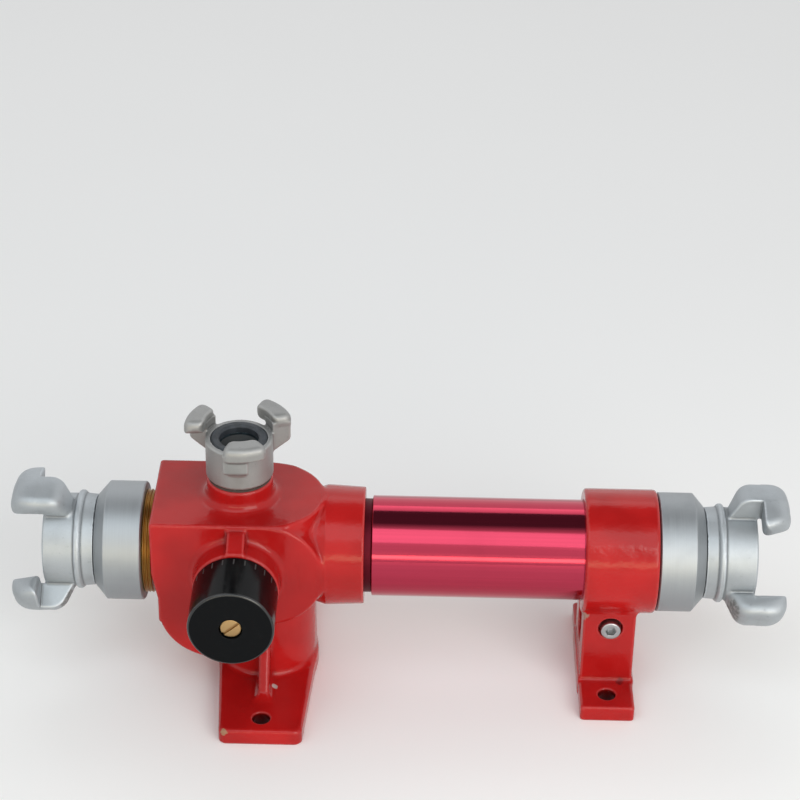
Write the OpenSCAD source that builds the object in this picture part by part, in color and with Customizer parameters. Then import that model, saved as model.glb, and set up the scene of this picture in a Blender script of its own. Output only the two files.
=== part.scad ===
// In-line jet eductor on two feet: cast body with suction port and metering knob, diffuser tube, swivel claw heads

/* [Mounting] */
// Height of the flow axis above the base plane
axis_height = 88; // [86:0.5:96]
// Thickness of both feet
foot_thickness = 10; // [8:0.5:11]
// Length of the body foot across the flow
foot_length = 163; // [156:1:176]
// Width of the body foot at its two ends
foot_end_width = 49; // [44:0.5:54]
// Distance between the two body foot holes
foot_hole_span = 138; // [132:1:142]
// Diameter of every foot hole
foot_hole_d = 10.5; // [9:0.5:12]
// Length of the bracket foot across the flow
bracket_foot_length = 105; // [102:1:116]
// Distance between the two bracket foot holes
bracket_hole_span = 79; // [78:0.5:84]

/* [Body] */
// Width of the body across the flow
body_width = 70; // [69:0.5:76]
// Height of the body top face above the flow axis
body_rise = 35.5; // [35:0.25:38]
// Length from the inlet face to the pedestal axis
body_length = 66; // [64:0.5:70]
// Diameter of the pedestal
pedestal_d = 59; // [56:0.5:62]
// Radius of the round belly under the inlet
belly_r = 35; // [32:0.5:37]
// Setback of the belly from the inlet face
belly_set = 3.4; // [2:0.2:5]
// Distance of the suction and metering axes ahead of the pedestal axis
valve_offset = 15; // [14:0.25:17]
// Height of the suction boss above the top face
port_boss_rise = 13; // [12:0.25:15]

/* [Flow parts] */
// Outside diameter of the diffuser tube
tube_d = 60; // [59:0.25:62]
// Bare length of the tube between boss and bracket
tube_bare = 126; // [110:1:170]
// Diameter of the jet opening in the nozzle
jet_d = 14; // [11:0.5:16]
// Diameter of the diffuser throat
throat_d = 18; // [17:0.5:20]
// Diameter of the waterway through the claw heads
way_d = 38; // [34:0.5:39]

/* [Couplings] */
// Outside diameter of the swivel collars
collar_d = 71; // [70:0.5:76]
// Diameter of the claw head barrel
head_d = 55; // [54:0.5:58]
// Outside diameter across the claws
claw_d = 86; // [82:0.5:90]
// Reach of a claw beyond the head face
claw_reach = 19; // [18:0.5:22]
// Gap between the head face and the claw hook
claw_slot = 4; // [3.5:0.25:5]
// Angle covered by a claw arm
claw_arm_angle = 28.5; // [26:0.5:34]
// Further angle covered by the hook
claw_hook_angle = 24.5; // [18:0.5:30]
// Angle from the start of one claw to the start of the other
claw_spacing = 226.5; // [220:0.5:232]
// Step from the hook down to the arm, on the outside of a claw
claw_ledge = 0.5; // [0.3:0.1:1.2]
// Diameter of the suction head barrel
port_d = 39.6; // [39:0.2:42]
// Outside diameter across the suction claws
port_claw_d = 64; // [60:0.5:68]
// Reach of a suction claw beyond the head face
port_reach = 10.8; // [10:0.2:13]
// Gap between the suction head face and its claw hooks
port_slot = 2.6; // [2.2:0.1:3.4]

/* [Knob] */
// Diameter of the metering knob
knob_d = 50; // [46:0.5:54]
// Length of the metering knob
knob_length = 36; // [32:0.5:42]

/* [Clearances] */
// Radial running clearance of turning parts
run = 0.06; // [0.03:0.01:0.08]
// Clearance between parts that do not touch
gap = 0.4; // [0.3:0.05:0.6]

/* [Hidden] */
$fn = 96;
eps = 0.02;
// Width of the body foot under the pedestal
foot_mid_width = pedestal_d + 1.4;
// Body stations along the flow, from the pedestal axis
x_in = -body_length;
x_valve = -valve_offset;
half_w = body_width / 2;
top_z = axis_height + body_rise;
x_boss = body_rise + 23.5;
x_tube = x_boss + 4;
x_ring0 = x_tube + tube_bare;
ring_width = 43.5;
x_ring1 = x_ring0 + ring_width;
boss_r = tube_d / 2 + 5;
ring_r = tube_d / 2 + 7;
spigot_r = tube_d / 2 - 4;
// Collar and head stations, measured outward from the piece each collar is screwed to
collar_in = 28.4;
collar_out = 27.4;
collar_r = collar_d / 2;
flange_t = 6;
x_c_in = x_in - flange_t;
x_c_out = x_ring1 + 0.5;
thread_in = 14.8;
thread_out = 13;
thread_r = tube_d / 2 - 1.5;
head_r = head_d / 2;
way_r = way_d / 2;
stem_r = way_r + 5;
head_len = 30;
stem_len = 13.4;
head_gap = 0.6;
x_face_in = x_c_in - collar_in - head_gap - head_len;
x_face_out = x_c_out + collar_out + head_gap + head_len;
claw_r = claw_d / 2;
// Suction port levels
boss_top = top_z + port_boss_rise;
washer_t = 1.5;
port_base = boss_top + washer_t;
port_len = 25;
port_face = port_base + port_len;
port_r = port_d / 2;
port_thread_r = 16.6;
port_floor = top_z - 11.5;
cage_t = 4;
ball_r = 8.5;
seat_r = 7;
ball_rest = port_floor + 3 + cage_t + ball_r;
// Metering valve stations across the flow
pad_y = half_w + 6.5;
cup_r = 25.5;
plug_r = 9;
plug_end = 22;
plug_shoulder = half_w - 2;
gland_out = pad_y + 7.5;
cup_y = gland_out + 0.3;
knob_back = gland_out + 1;
knob_front = knob_back + knob_length;
shaft_r = 6;
mix_r = 17;
// Bracket
leg_x0 = x_ring0 + 1.5;
leg_w = 31.5;
leg_y = ring_r - 11;
slit = 22;
screw_z = axis_height - tube_d / 2 - 9;
screw_x = leg_x0 + leg_w / 2 + 0.75;

function unit(v) = v / norm(v);
function half_angle(a, p, b) = acos(max(-1, min(1, unit(a - p) * unit(b - p)))) / 2;
function at(pts, i) = pts[(i + len(pts)) % len(pts)];

// Convex outline with true round corners of radius r
module round_outline(pts, r) {
    n = len(pts);
    polygon([for (i = [0:n - 1]) for (k = [-1, 1])
        let (p = pts[i], q = at(pts, i + k), h = half_angle(at(pts, i - 1), p, at(pts, i + 1)))
        p + unit(q - p) * r / tan(h)]);
    for (i = [0:n - 1]) {
        p = pts[i];
        h = half_angle(at(pts, i - 1), p, at(pts, i + 1));
        translate(p + unit(unit(at(pts, i - 1) - p) + unit(at(pts, i + 1) - p)) * r / sin(h))
            circle(r = r);
    }
}

// Puts a shape drawn about Z onto the flow axis, pointing to the outlet
module on_flow(x = 0) translate([x, 0, axis_height]) rotate([0, 90, 0]) children();

// Puts a shape drawn about Z onto the flow axis, pointing to the inlet
module on_inlet(x = 0) translate([x, 0, axis_height]) rotate([0, -90, 0]) children();

// Puts a shape drawn about Z onto the metering axis, pointing to the knob
module on_valve(y = 0) translate([x_valve, -y, axis_height]) rotate([90, 0, 0]) children();

module ring(r_in, r_out, h) rotate_extrude() translate([r_in, 0]) square([r_out - r_in, h]);

module torus(r_ring, r_wire) rotate_extrude() translate([r_ring, 0]) circle(r = r_wire, $fn = 32);

module fillet_ring(r, f) rotate_extrude() difference() {
    translate([r - 1, -1]) square([f + 1, f + 1]);
    translate([r + f, f]) circle(r = f, $fn = 48);
}

// Body casting

module body_side() {
    circle(r = body_rise);
    belly_x = x_in + belly_set;
    belly_z = belly_r - body_rise - 25.5;
    polygon([[x_in, body_rise], [x_in, 0], [belly_x, -18], [belly_x, belly_z],
        [belly_x + belly_r, belly_z], [0, -body_rise], [0, body_rise]]);
    translate([belly_x + belly_r, belly_z]) circle(r = belly_r);
}

module body_plan() {
    circle(r = half_w);
    translate([x_in, -half_w]) square([body_length, body_width]);
}

module foot_plan() round_outline([
    [-foot_end_width / 2, -foot_length / 2], [foot_end_width / 2, -foot_length / 2],
    [foot_mid_width / 2, 0], [foot_end_width / 2, foot_length / 2],
    [-foot_end_width / 2, foot_length / 2], [-foot_mid_width / 2, 0]], 4);

module gusset() translate([-3.25, 0, 0]) rotate([90, 0, 90]) linear_extrude(6.5)
    polygon([[-pedestal_d / 2 + 4, foot_thickness - 1], [-pedestal_d / 2 - 21, foot_thickness - 1],
        [-pedestal_d / 2 - 20, foot_thickness + 2], [-pedestal_d / 2 + 1, foot_thickness + 32],
        [-pedestal_d / 2 + 4, foot_thickness + 32]]);

// Index rib on top of the knob cup, sloping down to the cup's rim
module pointer() translate([x_valve - 5.3, 0, axis_height]) rotate([90, 0, 90]) linear_extrude(10.6)
    polygon([[1 - half_w, 20], [1 - half_w, body_rise - 2.6], [-half_w - 3, body_rise - 3],
        [-cup_y, cup_r + 0.6], [-cup_y, 20]]);

module body_solid() {
    translate([0, 0, axis_height]) linear_extrude(body_rise) body_plan();
    translate([0, half_w, axis_height]) rotate([90, 0, 0]) linear_extrude(body_width) body_side();
    linear_extrude(foot_thickness) foot_plan();
    translate([0, 0, 1]) cylinder(r = pedestal_d / 2, h = axis_height - 3);
    intersection() {
        translate([0, 0, foot_thickness]) fillet_ring(pedestal_d / 2, 2.5);
        linear_extrude(axis_height) foot_plan();
    }
    gusset();
    mirror([0, 1, 0]) gusset();
    on_flow(12) rotate_extrude() polygon([[0, 0], [boss_r - 1, 0], [boss_r - 1, body_rise - 17],
        [boss_r + 1, body_rise - 11], [boss_r, x_boss - 14], [boss_r - 1, x_boss - 12], [0, x_boss - 12]]);
    translate([x_valve, 0, top_z - 1]) cylinder(r = port_r + 0.7, h = port_boss_rise + 1);
    translate([x_valve, 0, top_z]) fillet_ring(port_r + 0.7, 4);
    on_valve(half_w - 1) cylinder(r = cup_r, h = cup_y - half_w + 1);
    on_valve(half_w) fillet_ring(cup_r, 3);
    pointer();
}

module body_bores() {
    on_flow(x_in - 1) cylinder(r = 24, h = body_length - 39);
    on_flow(x_in + 10) cylinder(r = mix_r, h = body_length + 20);
    on_flow(27) cylinder(r = spigot_r, h = x_boss);
    translate([x_valve, 0, port_floor + 3]) cylinder(r = port_thread_r, h = 60);
    translate([x_valve, 0, port_floor]) cylinder(r = 13, h = 10);
    on_valve(mix_r - 6) cylinder(r = 5, h = 20);
    on_valve(plug_end) cylinder(r = plug_r + run, h = 40);
    on_valve(plug_shoulder) cylinder(r = 14, h = 40);
    on_valve(pad_y) cylinder(r = cup_r - 4.5, h = 40);
    duct_a = [-10, port_floor + 2];
    duct_b = [-28.5, axis_height + 3];
    duct_d = duct_b - duct_a;
    translate([x_valve, duct_a[0], duct_a[1]]) rotate([atan2(norm([duct_d[0]]), duct_d[1]), 0, 0])
        cylinder(r = 4.5, h = norm(duct_d));
    for (s = [-1, 1]) translate([0, s * foot_hole_span / 2, -1])
        cylinder(d = foot_hole_d, h = foot_thickness + 2);
}

module body() color([0.67, 0.12, 0.13]) difference() {
    body_solid();
    body_bores();
}

// Jet nozzle and its seal

module nozzle() color([0.72, 0.55, 0.26]) on_flow() rotate_extrude() polygon([
    [way_r, x_c_in - thread_in], [thread_r, x_c_in - thread_in], [thread_r, x_c_in],
    [tube_d / 2 + 1, x_c_in], [tube_d / 2 + 1, x_in], [24, x_in], [24, x_in + 3], [21.4, x_in + 3],
    [21.4, x_in + 6.2], [24, x_in + 6.2], [24, x_in + 25], [15, x_in + 25], [10.5, -8],
    [jet_d / 2, -8], [jet_d / 2, -12]]);

module nozzle_seal() color([0.05, 0.05, 0.05]) on_flow(x_in + 4.6) torus(22.7, 1.28);

// Swivel collars and claw heads

module collar(length, thread) rotate_extrude() polygon([
    [thread_r, 0], [collar_r - 2, 0], [collar_r, 2.2], [collar_r, length - 6.4],
    [head_r + 0.5, length], [stem_r + run, length], [stem_r + run, length - 4.4],
    [stem_r + 1.5, length - 4.4], [stem_r + 1.5, length - 7.4], [stem_r + run, length - 7.4],
    [stem_r + run, thread], [thread_r, thread]]);

module swivel_wire() torus(stem_r, 1.5 - eps);

module claw_block(r0, r1, z0, z1, f) {
    translate([r0, z0]) square([r1 - r0 - f, z1 - z0]);
    translate([r0, z0]) square([r1 - r0, z1 - z0 - f]);
    translate([r1 - f, z1 - f]) circle(r = f, $fn = 48);
}

module claw(r_barrel, r_out, root, reach, slot, arm, hook, f) {
    r_arm = r_out - claw_ledge;
    rotate_extrude(angle = arm) polygon([[r_barrel - 1, -root - 0.5], [r_barrel, -root],
        [r_arm, -root + (r_arm - r_barrel) * 0.5], [r_arm, slot + 1], [r_barrel + gap, slot + 1],
        [r_barrel + gap, -1], [r_barrel - 1, -1]]);
    rotate_extrude(angle = arm + hook) claw_block(r_barrel + gap, r_out, slot, reach, f);
}

module head_barrel() rotate_extrude() polygon([
    [way_r, 0 - 5], [way_r + 6, -5], [way_r + 6, 0], [head_r - 0.6, 0], [head_r, -0.6],
    [head_r, -19.8], [head_r + 2.4, -21], [head_r + 2.4, -22.6], [head_r + 1.8, -23.2],
    [head_r - 0.2, -head_len],
    [stem_r, -head_len], [stem_r, -head_len - 4.7], [stem_r - 1.9, -head_len - 4.7],
    [stem_r - 1.9, -head_len - 8.3], [stem_r, -head_len - 8.3], [stem_r, -head_len - 9.3],
    [stem_r - 2.9, -head_len - 9.3], [stem_r - 2.9, -head_len - 12.5], [stem_r, -head_len - 12.5],
    [stem_r, -head_len - stem_len], [way_r, -head_len - stem_len]]);

module claw_head(start) {
    head_barrel();
    for (a = [0, claw_spacing]) rotate([0, 0, start + a])
        claw(head_r, claw_r, 17.4, claw_reach, claw_slot, claw_arm_angle, claw_hook_angle, 8);
}

module head_seal() translate([0, 0, -head_len - 10.9]) torus(stem_r - 1.46, 1.42);

module head_gasket() translate([0, 0, -5]) rotate_extrude() polygon([
    [way_r, 0], [way_r + 6, 0], [way_r + 6, 5], [way_r + 5, 6.2], [way_r + 1.5, 6.2], [way_r, 5]]);

module inlet_collar() color([0.72, 0.73, 0.75]) on_inlet(x_c_in) collar(collar_in, thread_in);

module inlet_wire() color([0.6, 0.61, 0.63]) on_inlet(x_c_in - collar_in + 5.9) swivel_wire();

module inlet_head() color([0.62, 0.63, 0.65]) on_inlet(x_face_in) claw_head(-24.5);

module inlet_seal() color([0.05, 0.05, 0.05]) on_inlet(x_face_in) head_seal();

module inlet_gasket() color([0.09, 0.1, 0.11]) on_inlet(x_face_in) head_gasket();

module outlet_collar() color([0.72, 0.73, 0.75]) on_flow(x_c_out) collar(collar_out, thread_out);

module outlet_wire() color([0.6, 0.61, 0.63]) on_flow(x_c_out + collar_out - 5.9) swivel_wire();

module outlet_head() color([0.62, 0.63, 0.65]) on_flow(x_face_out) claw_head(293);

module outlet_seal() color([0.05, 0.05, 0.05]) on_flow(x_face_out) head_seal();

module outlet_gasket() color([0.09, 0.1, 0.11]) on_flow(x_face_out) head_gasket();

// Suction port with its check ball

module at_port(z) translate([x_valve, 0, z]) children();

module port_head() color([0.62, 0.63, 0.62]) at_port(port_face) {
    rotate_extrude() polygon([
        [11.5, -4], [16.8, -4], [16.8, 0], [port_r - 0.6, 0], [port_r, -0.6], [port_r, -port_len],
        [port_thread_r, -port_len], [port_thread_r, port_floor + 3 + cage_t - port_face],
        [12, port_floor + 3 + cage_t - port_face], [12, -port_len - 3.2], [seat_r, -port_len + 1.8],
        [seat_r, -port_len + 4.8], [11.5, -port_len + 9.3]]);
    for (a = [256, 16, 136]) rotate([0, 0, a]) {
        rotate_extrude(angle = 28.5) polygon([[port_r - 1, -14.2], [port_r, -13.7],
            [port_claw_d / 2 - 2, -7], [port_claw_d / 2 - 2, 6], [port_r + gap, 6], [port_r + gap, -1],
            [port_r - 1, -1]]);
        rotate_extrude(angle = 53) claw_block(port_r + gap, port_claw_d / 2, port_slot, port_reach, 5);
    }
}

module port_washer() color([0.16, 0.13, 0.12]) at_port(boss_top)
    ring(port_thread_r, port_r - 1.2, washer_t);

module port_gasket() color([0.12, 0.14, 0.16]) at_port(port_face - 4) rotate_extrude()
    polygon([[11.5, 0], [16.8, 0], [16.8, 3.4], [15.8, 4.6], [13, 4.6], [11.5, 3.4]]);

module check_cage() color([0.72, 0.55, 0.26]) at_port(port_floor + 3) {
    ring(12, port_thread_r, cage_t);
    intersection() {
        cylinder(r = 12.5, h = cage_t);
        for (a = [0, 90]) rotate([0, 0, a + 45]) translate([-20, -1.5, 0]) cube([40, 3, cage_t]);
    }
}

module check_ball() color([0.75, 0.75, 0.72]) at_port(ball_rest) sphere(r = ball_r);

// Metering valve and knob

module plug() color([0.72, 0.55, 0.26]) on_valve() difference() {
    rotate_extrude() polygon([[0, plug_end + gap], [plug_r, plug_end + gap],
        [plug_r, plug_shoulder - 4.6], [plug_r - 2, plug_shoulder - 4.6], [plug_r - 2, plug_shoulder - 2],
        [plug_r, plug_shoulder - 2], [plug_r, plug_shoulder - eps], [shaft_r, plug_shoulder - eps],
        [shaft_r, knob_back + 10], [shaft_r - 1, knob_back + 10], [shaft_r - 1, knob_front - 6],
        [0, knob_front - 6]]);
    translate([0, 0, plug_end]) cylinder(r = 4.5, h = 9.5);
    translate([0, 0, plug_end + 6.5]) rotate([-90, 0, 0]) cylinder(r = 3.6, h = 20);
    translate([0, 0, knob_front - 18]) cylinder(r = 2.5, h = 20);
}

module plug_seal() color([0.05, 0.05, 0.05]) on_valve(plug_shoulder - 3.3) torus(plug_r - 1, 1);

module gland() color([0.72, 0.55, 0.26]) on_valve() rotate_extrude() polygon([
    [shaft_r + run, plug_shoulder], [14, plug_shoulder], [14, pad_y], [16.5, pad_y], [16.5, pad_y + 4],
    [13, pad_y + 5], [13, gland_out], [shaft_r + run, gland_out], [shaft_r + run, pad_y + 3.3],
    [shaft_r + 1.9, pad_y + 3.3], [shaft_r + 1.9, pad_y + 1], [shaft_r + run, pad_y + 1]]);

module gland_seal() color([0.05, 0.05, 0.05]) on_valve(pad_y + 2.15) torus(shaft_r + 1.0, 0.9);

module knob() color([0.05, 0.05, 0.06]) on_valve(knob_back) difference() {
    rotate_extrude() polygon([[0, 0], [knob_d / 2 - 1, 0], [knob_d / 2, 1], [knob_d / 2, knob_length - 1.5],
        [knob_d / 2 - 1.5, knob_length], [0, knob_length]]);
    translate([0, 0, -1]) cylinder(r = shaft_r, h = 11);
    translate([0, 0, 5]) cylinder(r = shaft_r - 1, h = knob_length);
    translate([0, 0, knob_length - 6]) cylinder(r = 6.7, h = 8);
}

module knob_screw() color([0.78, 0.68, 0.42]) on_valve(knob_front - 6) difference() {
    union() {
        translate([0, 0, -11]) cylinder(r = 2.5, h = 12);
        cylinder(r = 6.2, h = 5.2);
    }
    rotate([0, 0, 40]) translate([-8, -0.75, 3.6]) cube([16, 1.5, 4]);
}

// Diffuser tube, clamp bracket

module tube() color([0.62, 0.08, 0.22]) on_flow() rotate_extrude() polygon([
    [13, 27], [spigot_r, 27], [spigot_r, 32], [spigot_r - 2.4, 32], [spigot_r - 2.4, 35.2],
    [spigot_r, 35.2], [spigot_r, 42], [spigot_r - 2.4, 42], [spigot_r - 2.4, 45.2], [spigot_r, 45.2],
    [spigot_r, x_boss], [tube_d / 2 - 2, x_boss], [tube_d / 2 - 2, x_tube], [tube_d / 2, x_tube + 0.6],
    [tube_d / 2, x_c_out], [thread_r, x_c_out], [thread_r, x_c_out + thread_out],
    [way_r, x_c_out + thread_out], [throat_d / 2, 66], [throat_d / 2, 46]]);

module tube_seals() color([0.05, 0.05, 0.05]) for (x = [33.6, 43.6])
    on_flow(x) torus(spigot_r - 1.2, 1.2);

module bracket_plan() translate([leg_x0 - 0.5, -bracket_foot_length / 2])
    round_outline([[0, 0], [leg_w + 1, 0], [leg_w + 1, bracket_foot_length], [0, bracket_foot_length]], 2);

module bracket() color([0.67, 0.12, 0.13]) difference() {
    union() {
        linear_extrude(foot_thickness) bracket_plan();
        translate([leg_x0, -leg_y, 1]) cube([leg_w, 2 * leg_y, axis_height - 1]);
        on_flow(x_ring0) rotate_extrude() polygon([[0, 0], [ring_r - 1.5, 0], [ring_r, 1.5],
            [ring_r, ring_width - 1.5], [ring_r - 1.5, ring_width], [0, ring_width]]);
    }
    on_flow(x_ring0 - 1) cylinder(r = tube_d / 2, h = ring_width + 2);
    translate([x_ring0 - 1, -slit / 2, foot_thickness + 12 + slit / 2])
        cube([ring_width + 2, slit, axis_height - foot_thickness - 12 - slit / 2]);
    translate([x_ring0 - 1, 0, foot_thickness + 12 + slit / 2]) rotate([0, 90, 0])
        cylinder(d = slit, h = ring_width + 2);
    translate([screw_x, 0, screw_z]) rotate([90, 0, 0]) {
        translate([0, 0, 0]) cylinder(r = 4.5, h = 60);
        translate([0, 0, leg_y - 5]) cylinder(r = 7.2, h = 60);
        translate([0, 0, -leg_y + 2]) cylinder(r = 4, h = 40);
    }
    for (s = [-1, 1]) translate([leg_x0 + leg_w / 2, s * bracket_hole_span / 2, -1])
        cylinder(d = foot_hole_d, h = foot_thickness + 2);
}

module clamp_screw() color([0.7, 0.71, 0.72]) translate([screw_x, 0, screw_z]) rotate([90, 0, 0]) difference() {
    union() {
        translate([0, 0, -leg_y + 4]) cylinder(r = 4, h = 2 * leg_y - 9);
        translate([0, 0, leg_y - 5]) rotate_extrude() polygon([[0, 0], [6.5, 0], [6.5, 7.4], [5.9, 8], [0, 8]]);
    }
    translate([0, 0, leg_y - 1]) cylinder(r = 3.46, h = 8, $fn = 6);
}

body();
nozzle();
nozzle_seal();
inlet_collar();
inlet_head();
inlet_wire();
inlet_seal();
inlet_gasket();
port_head();
port_washer();
port_gasket();
check_cage();
check_ball();
plug();
plug_seal();
gland();
gland_seal();
knob();
knob_screw();
tube();
tube_seals();
bracket();
clamp_screw();
outlet_collar();
outlet_head();
outlet_wire();
outlet_seal();
outlet_gasket();
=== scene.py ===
"""Jet eductor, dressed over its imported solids: castings, claw heads, turned pieces, knob and finishes."""

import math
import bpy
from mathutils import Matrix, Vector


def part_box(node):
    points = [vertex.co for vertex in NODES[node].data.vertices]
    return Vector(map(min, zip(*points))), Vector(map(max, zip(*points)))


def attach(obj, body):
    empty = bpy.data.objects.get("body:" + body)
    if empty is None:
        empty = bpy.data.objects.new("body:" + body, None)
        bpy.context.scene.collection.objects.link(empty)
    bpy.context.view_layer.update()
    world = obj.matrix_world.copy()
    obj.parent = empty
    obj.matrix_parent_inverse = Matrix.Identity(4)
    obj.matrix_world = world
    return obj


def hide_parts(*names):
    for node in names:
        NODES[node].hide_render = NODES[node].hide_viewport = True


bl_info = {
    "name": "Jet eductor",
    "version": (1, 0, 0),
    "blender": (4, 5, 0),
    "location": "View3D > Sidebar > Eductor",
    "description": "Builds the visible pieces of an in-line jet eductor over its packed solids",
    "category": "Object",
}

import bpy
import numpy as np
from bpy.props import FloatProperty, FloatVectorProperty, PointerProperty
from mathutils import Matrix

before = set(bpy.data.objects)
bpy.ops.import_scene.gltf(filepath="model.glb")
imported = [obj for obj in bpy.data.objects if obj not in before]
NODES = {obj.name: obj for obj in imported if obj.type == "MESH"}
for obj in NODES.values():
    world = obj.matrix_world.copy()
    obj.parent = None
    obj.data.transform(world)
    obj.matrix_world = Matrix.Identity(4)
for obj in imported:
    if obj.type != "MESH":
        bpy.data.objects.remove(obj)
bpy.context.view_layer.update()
MM = 0.001


def corners(node):
    """Lowest and highest corner of a CAD node in millimetres."""
    low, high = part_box(node)
    return np.array(low) / MM, np.array(high) / MM


TUBE_LOW, TUBE_HIGH = corners("tube")
AXIS_Z = float(TUBE_LOW[2] + TUBE_HIGH[2]) / 2
KNOB_LOW, KNOB_HIGH = corners("knob")
VALVE_X = float(KNOB_LOW[0] + KNOB_HIGH[0]) / 2
BODY_LOW, BODY_HIGH = corners("body")

# Sizes that more than one piece shares, in millimetres
WAY_R = 19.0
NOZZLE_R = 24.0
STEM_R = 24.0
SPIGOT_R = 26.0
SPIGOT_X = 27.0
BARREL_R = 27.5
THREAD_R = 28.5
TUBE_R = 30.0
HOLE_R = 5.25
FOOT_TOP = 10.0
BODY_HOLE_Y = 69.0
BRACKET_X = 206.25
BRACKET_HOLE_Y = 39.5
CLAW_R = 43.0
CLAW_REACH = 19.0
HEAD_TAIL = 43.4
SUCTION_R = 19.8
SUCTION_REACH = 10.8
GASKET_R = 25.0
GASKET_RISE = 6.2
KNOB_SEAT = 6.0
CLAMP_HEAD = 8.0

# Claws of the inlet and outlet heads, in degrees: arm, whole hook, and from one claw to the other
CLAW_ARM = 28.5
CLAW_HOOK = 53.0
CLAW_SPACING = 226.5


# Settings that a user would change


class EductorSizes(bpy.types.PropertyGroup):
    """Sizes of the finish that is laid over the solids."""

    casting_edge: FloatProperty(
        name="Casting edge", description="Roundness of the outer edges of the castings",
        default=0.0021, min=0.0008, max=0.005, unit="LENGTH")
    casting_fillet: FloatProperty(
        name="Casting fillet", description="Reach of the fillets where parts of a casting meet",
        default=0.0045, min=0.001, max=0.008, unit="LENGTH")
    casting_step: FloatProperty(
        name="Casting step", description="Grid step of the casting surfaces",
        default=0.0011, min=0.0009, max=0.004, unit="LENGTH")
    head_step: FloatProperty(
        name="Head step", description="Grid step of the claw head surfaces",
        default=0.0008, min=0.0007, max=0.004, unit="LENGTH")


class EductorColours(bpy.types.PropertyGroup):
    """Base colours of the finishes."""

    paint: FloatVectorProperty(
        name="Paint", description="Red enamel of the two castings",
        default=(0.42, 0.0095, 0.0095), subtype="COLOR", min=0, max=1)
    anodising: FloatVectorProperty(
        name="Anodising", description="Raspberry anodising of the diffuser tube",
        default=(0.48, 0.046, 0.086), subtype="COLOR", min=0, max=1)
    turned: FloatVectorProperty(
        name="Turned aluminium", description="Bright swivel collars",
        default=(0.37, 0.392, 0.41), subtype="COLOR", min=0, max=1)
    satin: FloatVectorProperty(
        name="Satin aluminium", description="Claw heads",
        default=(0.405, 0.435, 0.46), subtype="COLOR", min=0, max=1)
    cast: FloatVectorProperty(
        name="Cast aluminium", description="Suction head",
        default=(0.31, 0.312, 0.31), subtype="COLOR", min=0, max=1)
    brass: FloatVectorProperty(
        name="Brass", description="Nozzle, gland and screw",
        default=(0.40, 0.235, 0.070), subtype="COLOR", min=0, max=1)
    knob: FloatVectorProperty(
        name="Knob", description="Polished black plastic",
        default=(0.0028, 0.0033, 0.0040), subtype="COLOR", min=0, max=1)


# Distance fields of the castings and heads


def smin(a, b, k):
    """Smaller of two distances, with a parabolic blend of reach k where they are close."""
    h = np.maximum(k - np.abs(a - b), 0.0) / k
    return np.minimum(a, b) - h * h * k * 0.25


def smax(a, b, k):
    """Larger of two distances, with the same blend, which rounds an outer edge."""
    return -smin(-a, -b, k)


def ease(t):
    """Smooth step from 0 to 1."""
    t = np.clip(t, 0.0, 1.0)
    return t * t * (3.0 - 2.0 * t)


def all_of(*parts):
    """Distance to what lies inside every part: the largest of the distances."""
    out = parts[0]
    for part in parts[1:]:
        out = np.maximum(out, part)
    return out


def outline_field(r, z, outline):
    """Signed distance in the (r, z) half plane to a closed outline: nearest edge, sign by crossings."""
    best = np.full(r.shape, 1e9)
    inside = np.zeros(r.shape, bool)
    for (r0, z0), (r1, z1) in zip(outline, outline[1:] + outline[:1]):
        er, ez = r1 - r0, z1 - z0
        wr, wz = r - r0, z - z0
        t = np.clip((wr * er + wz * ez) / (er * er + ez * ez), 0.0, 1.0)
        best = np.minimum(best, (wr - er * t) ** 2 + (wz - ez * t) ** 2)
        if ez:
            crosses = ((z0 <= z) != (z1 <= z)) & (r < r0 + er * (z - z0) / ez)
            inside ^= crosses
    return np.where(inside, -1.0, 1.0) * np.sqrt(best)


# Body casting, in millimetres
BODY_HALF = 35.0
BODY_RISE = 35.5
INLET_X = -66.0
INLET_LEAN = 3.4
BELLY_X = -27.6
BELLY_DROP = 26.0
BELLY_R = 35.0
BOSS_END = 59.0
POST_R = 29.5
RIB_HALF = 3.25
FOOT_HALF = 30.2
FOOT_END = 81.5
PORT_BOSS_R = 19.5
PORT_BOSS_TOP = 136.5
CUP_R = 25.5
CUP_Y = -49.3
INDEX_TOP = 32.8
INDEX_HALF = 5.3

# Clamp bracket, in millimetres
RING_X = 210.75
RING_R = 37.0
RING_HALF = 21.75
LEG_HALF = 15.75
LEG_SIDE = 26.0
CLAMP_X = 207.0
CLAMP_Z = 49.0
GAP_Z = 33.0
GAP_HALF = 11.0

# Slanted faces, as the two parts of the unit normal
RIB_SLANT = (0.8192, 0.5735)
FOOT_SLANT = (0.99756, 0.06977)
INDEX_SLANT = (-0.493, 0.870)
CLAW_SLANT = (0.4472, -0.8944)
SUCTION_SLANT = (0.549, -0.836)


def slanted(a, b, normal):
    """Distance to a slanted face through the point where both lengths are 0."""
    return a * normal[0] + b * normal[1]


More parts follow.
